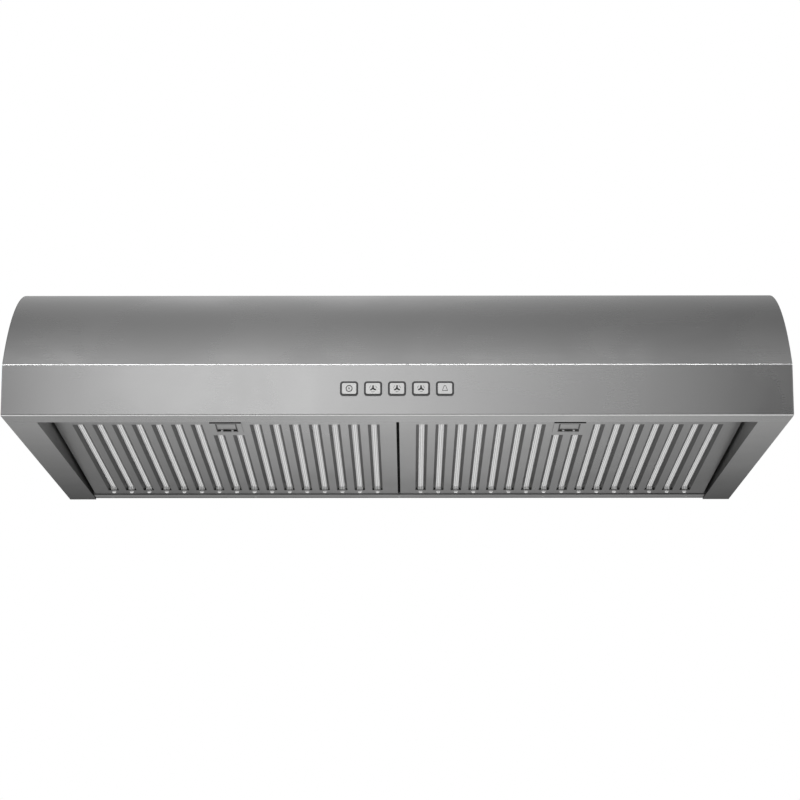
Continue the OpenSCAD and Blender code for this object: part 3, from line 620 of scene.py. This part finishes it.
def camera():
    """The camera in front of the hood and below it, looking up at its fascia."""
    right = 0.0122
    ahead = 2.336           # from the fascia
    below = 0.4605          # the rims
    tilt = 0.20088          # up from level
    roll = 0.004
    data = bpy.data.cameras.new("camera")
    data.sensor_width = 36.0
    data.lens = 111.9
    obj = bpy.data.objects.new("camera", data)
    bpy.context.scene.collection.objects.link(obj)
    obj.location = (right, FRONT - ahead, RIM - below)
    obj.rotation_mode = "XYZ"
    obj.rotation_euler = (math.pi / 2 + tilt, 0.0, roll)
    bpy.context.scene.camera = obj


def floor():
    """A plain pale kitchen floor below the hood; its underside lets light and sight through."""
    half = 5.0
    drop = 1.65
    mesh = bpy.data.meshes.new("floor")
    corners = [(-half, -half, 0), (half, -half, 0), (half, half, 0), (-half, half, 0)]
    mesh.from_pydata(corners, [], [(0, 1, 2, 3)])
    obj = bpy.data.objects.new("floor", mesh)
    obj.location = (0, 0, RIM - drop)
    bpy.context.scene.collection.objects.link(obj)
    pale = Surface("floor", (0.86, 0.86, 0.85), 0.0, 0.7)
    pale.tint(pale.noise((3.0, 3.0, 3.0)), 0.98, 1.02)
    clear = pale.tree.nodes.new("ShaderNodeBsdfTransparent")
    side = pale.tree.nodes.new("ShaderNodeNewGeometry")
    mix = pale.tree.nodes.new("ShaderNodeMixShader")
    pale.link(side.outputs["Backfacing"], mix.inputs["Fac"])
    pale.link(pale.shader.outputs["BSDF"], mix.inputs[1])
    pale.link(clear.outputs["BSDF"], mix.inputs[2])
    pale.link(mix.outputs["Shader"], pale.tree.nodes["Material Output"].inputs["Surface"])
    mesh.materials.append(pale.mat)


def softbox(name, place, aim, size, power):
    """A soft rectangular lamp at place, turned to aim."""
    data = bpy.data.lights.new(name, "AREA")
    data.shape = "RECTANGLE"
    data.size, data.size_y = size
    data.energy = power
    obj = bpy.data.objects.new(name, data)
    obj.location = place
    obj.rotation_mode = "QUATERNION"
    obj.rotation_quaternion = (Vector(aim) - Vector(place)).to_track_quat("-Z", "Y")
    obj.visible_camera = False
    bpy.context.scene.collection.objects.link(obj)


def graded_panel(name, low, high, y, levels, strength):
    """An upright glowing panel in front of the hood; levels gives its light from left to right."""
    mesh = bpy.data.meshes.new(name)
    corners = [(low[0], y, low[1]), (high[0], y, low[1]), (high[0], y, high[1]), (low[0], y, high[1])]
    mesh.from_pydata(corners, [], [(3, 2, 1, 0)])
    obj = bpy.data.objects.new(name, mesh)
    obj.visible_camera = False
    bpy.context.scene.collection.objects.link(obj)
    mat = bpy.data.materials.new(name)
    mat.use_nodes = True
    tree = mat.node_tree
    tree.nodes.clear()
    place = tree.nodes.new("ShaderNodeTexCoord")
    parts = tree.nodes.new("ShaderNodeSeparateXYZ")
    across = tree.nodes.new("ShaderNodeMapRange")
    across.inputs["From Min"].default_value = low[0]
    across.inputs["From Max"].default_value = high[0]
    ramp = tree.nodes.new("ShaderNodeValToRGB")
    fill_ramp(ramp, levels)
    glow = tree.nodes.new("ShaderNodeEmission")
    glow.inputs["Strength"].default_value = strength
    out = tree.nodes.new("ShaderNodeOutputMaterial")
    tree.links.new(place.outputs["Object"], parts.inputs["Vector"])
    tree.links.new(parts.outputs["X"], across.inputs["Value"])
    tree.links.new(across.outputs["Result"], ramp.inputs["Fac"])
    tree.links.new(ramp.outputs["Color"], glow.inputs["Color"])
    tree.links.new(glow.outputs["Emission"], out.inputs["Surface"])
    mesh.materials.append(mat)


def fill_ramp(ramp, levels):
    """Sets a colour ramp's stops from pairs of place (0 to 1) and grey level."""
    stops = ramp.color_ramp.elements
    while len(stops) < len(levels):
        stops.new(0.5)
    for stop, (place, grey) in zip(stops, levels):
        stop.position = place
        stop.color = (grey, grey, grey, 1)


# light of the panel in front of the hood, from its left end (0) to its right end (1)
PANEL = [(0.0, 0.1), (0.11, 0.3), (0.14, 0.46), (0.2, 0.72), (0.27, 0.87), (0.345, 1.0),
         (0.42, 0.8), (0.5, 0.72), (0.57, 0.58), (0.65, 0.43), (0.73, 0.32), (0.8, 0.37),
         (0.84, 0.15), (0.87, 0.0), (1.0, 0.0)]
# light of the room by angle in degrees, from the front horizon (0) up over the hood (90)
# to the wall's side (180); below the horizon the angles are negative
ROOM = [(-180, 0.69), (-160, 0.69), (-130, 0.42), (-90, 0.3), (-40, 0.26), (0, 0.16), (20, 0.2),
        (50, 0.45), (76, 0.5), (90, 0.42), (105, 0.34), (118, 0.35), (130, 0.48), (150, 0.63),
        (180, 0.62)]
# share of that light by a direction's part along X, above and below the horizon: the front of
# the hood mirrors the middle of it, and its sides and back mirror the ends
ABOVE = [(-1, 1.5), (-0.5, 1.1), (-0.3, 0.35), (-0.24, 0.3), (-0.17, 0.72), (-0.15, 0.8),
         (-0.12, 0.91), (-0.065, 1.0), (-0.035, 1.0), (0, 0.93), (0.03, 0.83), (0.06, 0.74),
         (0.09, 0.67), (0.12, 0.6), (0.16, 0.52), (0.24, 0.3), (0.3, 0.35), (0.5, 1.1), (1, 1.5)]
BELOW = [(-1, 1.2), (-0.5, 0.8), (-0.24, 0.15), (-0.16, 0.5), (-0.12, 0.64), (-0.06, 0.82),
         (0, 1.0), (0.06, 0.85), (0.12, 0.66), (0.16, 0.5), (0.24, 0.15), (0.5, 0.8), (1, 1.2)]


def world():
    """White to the camera; a soft grey room to everything else."""
    scene_world = bpy.data.worlds.new("studio")
    bpy.context.scene.world = scene_world
    scene_world.use_nodes = True
    tree = scene_world.node_tree
    room = tree.nodes["Background"]
    place = tree.nodes.new("ShaderNodeTexCoord")
    parts = tree.nodes.new("ShaderNodeSeparateXYZ")
    tree.links.new(place.outputs["Generated"], parts.inputs["Vector"])

    def node_math(operation, *values):
        node = tree.nodes.new("ShaderNodeMath")
        node.operation = operation
        for socket, value in zip(node.inputs, values):
            if isinstance(value, (int, float)):
                socket.default_value = value
            else:
                tree.links.new(value, socket)
        return node.outputs["Value"]

    def levels(source, low, high, stops):
        span = tree.nodes.new("ShaderNodeMapRange")
        span.inputs["From Min"].default_value = low
        span.inputs["From Max"].default_value = high
        ramp = tree.nodes.new("ShaderNodeValToRGB")
        fill_ramp(ramp, [((at - low) / (high - low), grey) for at, grey in stops])
        tree.links.new(source, span.inputs["Value"])
        tree.links.new(span.outputs["Result"], ramp.inputs["Fac"])
        return ramp.outputs["Color"]

    forward = node_math("MULTIPLY", parts.outputs["Y"], -1.0)
    angle = node_math("DEGREES", node_math("ARCTAN2", parts.outputs["Z"], forward))
    above = levels(parts.outputs["X"], -1.0, 1.0, ABOVE)
    below = levels(parts.outputs["X"], -1.0, 1.0, BELOW)
    is_above = levels(parts.outputs["Z"], -1.0, 1.0, [(-0.02, 0.0), (0.02, 1.0)])
    share = tree.nodes.new("ShaderNodeMix")
    share.data_type = "FLOAT"
    tree.links.new(is_above, share.inputs["Factor"])
    tree.links.new(below, share.inputs["A"])
    tree.links.new(above, share.inputs["B"])
    tree.links.new(levels(angle, -180, 180, ROOM), room.inputs["Color"])
    tree.links.new(share.outputs["Result"], room.inputs["Strength"])
    white = tree.nodes.new("ShaderNodeBackground")
    white.inputs["Color"].default_value = (1, 1, 1, 1)
    path = tree.nodes.new("ShaderNodeLightPath")
    mix = tree.nodes.new("ShaderNodeMixShader")
    tree.links.new(path.outputs["Is Camera Ray"], mix.inputs["Fac"])
    tree.links.new(room.outputs["Background"], mix.inputs[1])
    tree.links.new(white.outputs["Background"], mix.inputs[2])
    tree.links.new(mix.outputs["Shader"], tree.nodes["World Output"].inputs["Surface"])


def lights():
    graded_panel("front_softbox", (-0.95, -0.1 + RIM), (0.95, 1.05 + RIM), FRONT - 2.2, PANEL, 1.26)
    softbox("crease_light", (-0.2, FRONT - 1.35, RIM + 1.5), (0, FRONT, RIM + 0.05), (1.8, 0.2), 16)
    softbox("under_light", (0, FRONT + 0.2, RIM - 1.3), (0, FRONT + 0.3, RIM), (2.6, 1.3), 14)


camera()
floor()
world()
lights()
bpy.context.scene.view_settings.view_transform = "Standard"
